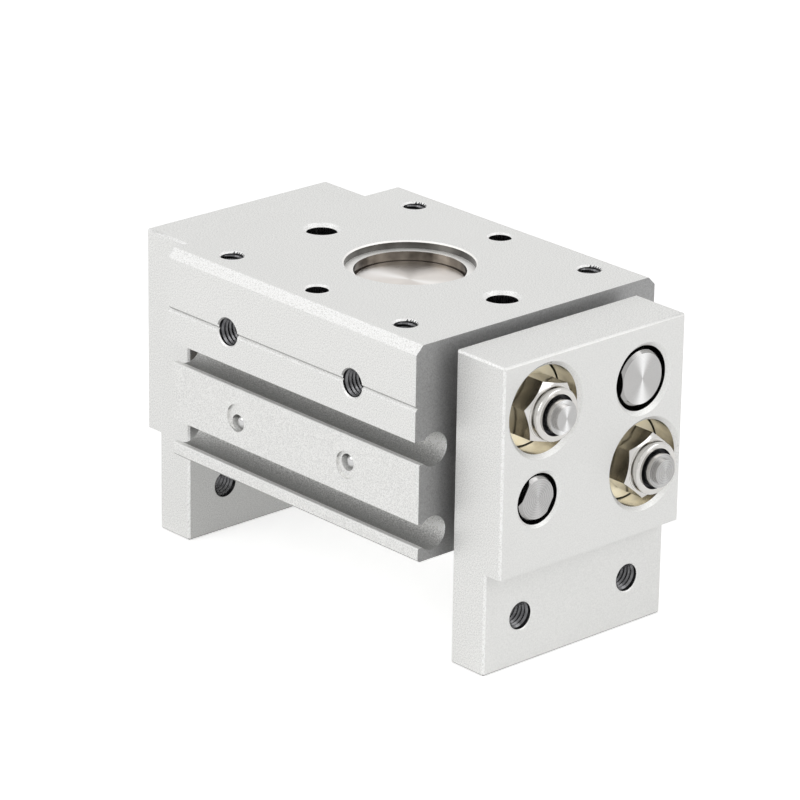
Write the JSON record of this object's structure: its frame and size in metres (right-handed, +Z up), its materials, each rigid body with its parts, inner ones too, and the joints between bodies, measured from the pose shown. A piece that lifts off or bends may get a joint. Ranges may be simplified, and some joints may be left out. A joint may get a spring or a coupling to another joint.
{
  "type": "wide opening pneumatic gripper",
  "caption": "Wide opening pneumatic gripper: stepped finger plates on long rods that slide out of an extruded body, kept in step by racks and a pinion.",
  "frame": {"origin": "on the ground under the middle of the closed gripper, at the centre of the bounding box's bottom", "axes": "+X along the way the right finger opens, +Z up out of the top face with the pilot recess, -Y out of the side with the air ports"},
  "size_m": [0.1014, 0.055, 0.0572],
  "materials": {
    "body_aluminium": "blasted and clear anodised",
    "finger_aluminium": "blasted and clear anodised",
    "plug_steel": "polished",
    "cap_steel": "turned",
    "hardened_steel": "ground",
    "cover_bronze": "turned",
    "rack_steel": "ground",
    "rod_steel": "hard chromed and ground",
    "piston_rubber": "moulded",
    "washer_zinc": "yellow zinc plated",
    "nut_steel": "nickel plated"
  },
  "bodies": {
    "body": {"body_block": "body_aluminium", "passage_plugs": "plug_steel", "pinion_cap": "cap_steel", "pinion_shaft": "hardened_steel", "right_cylinder_cover": "cover_bronze", "left_cylinder_cover": "cover_bronze"},
    "pinion": {"pinion_gear": "hardened_steel"},
    "right_finger": {"right_finger_plate": "finger_aluminium", "right_rack_rod": "rack_steel", "right_piston_rod": "rod_steel", "right_piston": "piston_rubber", "right_rack_washer": "washer_zinc", "right_piston_washer": "washer_zinc", "right_rack_nut": "nut_steel", "right_piston_nut": "nut_steel"},
    "left_finger": {"left_finger_plate": "finger_aluminium", "left_rack_rod": "rack_steel", "left_piston_rod": "rod_steel", "left_piston": "piston_rubber", "left_rack_washer": "washer_zinc", "left_piston_washer": "washer_zinc", "left_rack_nut": "nut_steel", "left_piston_nut": "nut_steel"}
  },
  "joints": [
    {"name": "right_finger_slide", "type": "slide", "parent": "body", "child": "right_finger", "axis": [1, 0, 0], "range_m": [0, 0.015]},
    {"name": "left_finger_slide", "type": "slide", "parent": "body", "child": "left_finger", "axis": [-1, 0, 0], "range_m": [0, 0.015]},
    {"name": "pinion_spin", "type": "hinge", "parent": "body", "child": "pinion", "pos_m": [0, 0, 0.0463], "axis": [0, 0, 1], "range_deg": [0, 115]}
  ],
  "couplings": [
    {"joint": "left_finger_slide", "follows": "right_finger_slide", "ratio": 1},
    {"joint": "pinion_spin", "follows": "right_finger_slide", "rad_per_m": 133.33}
  ]
}
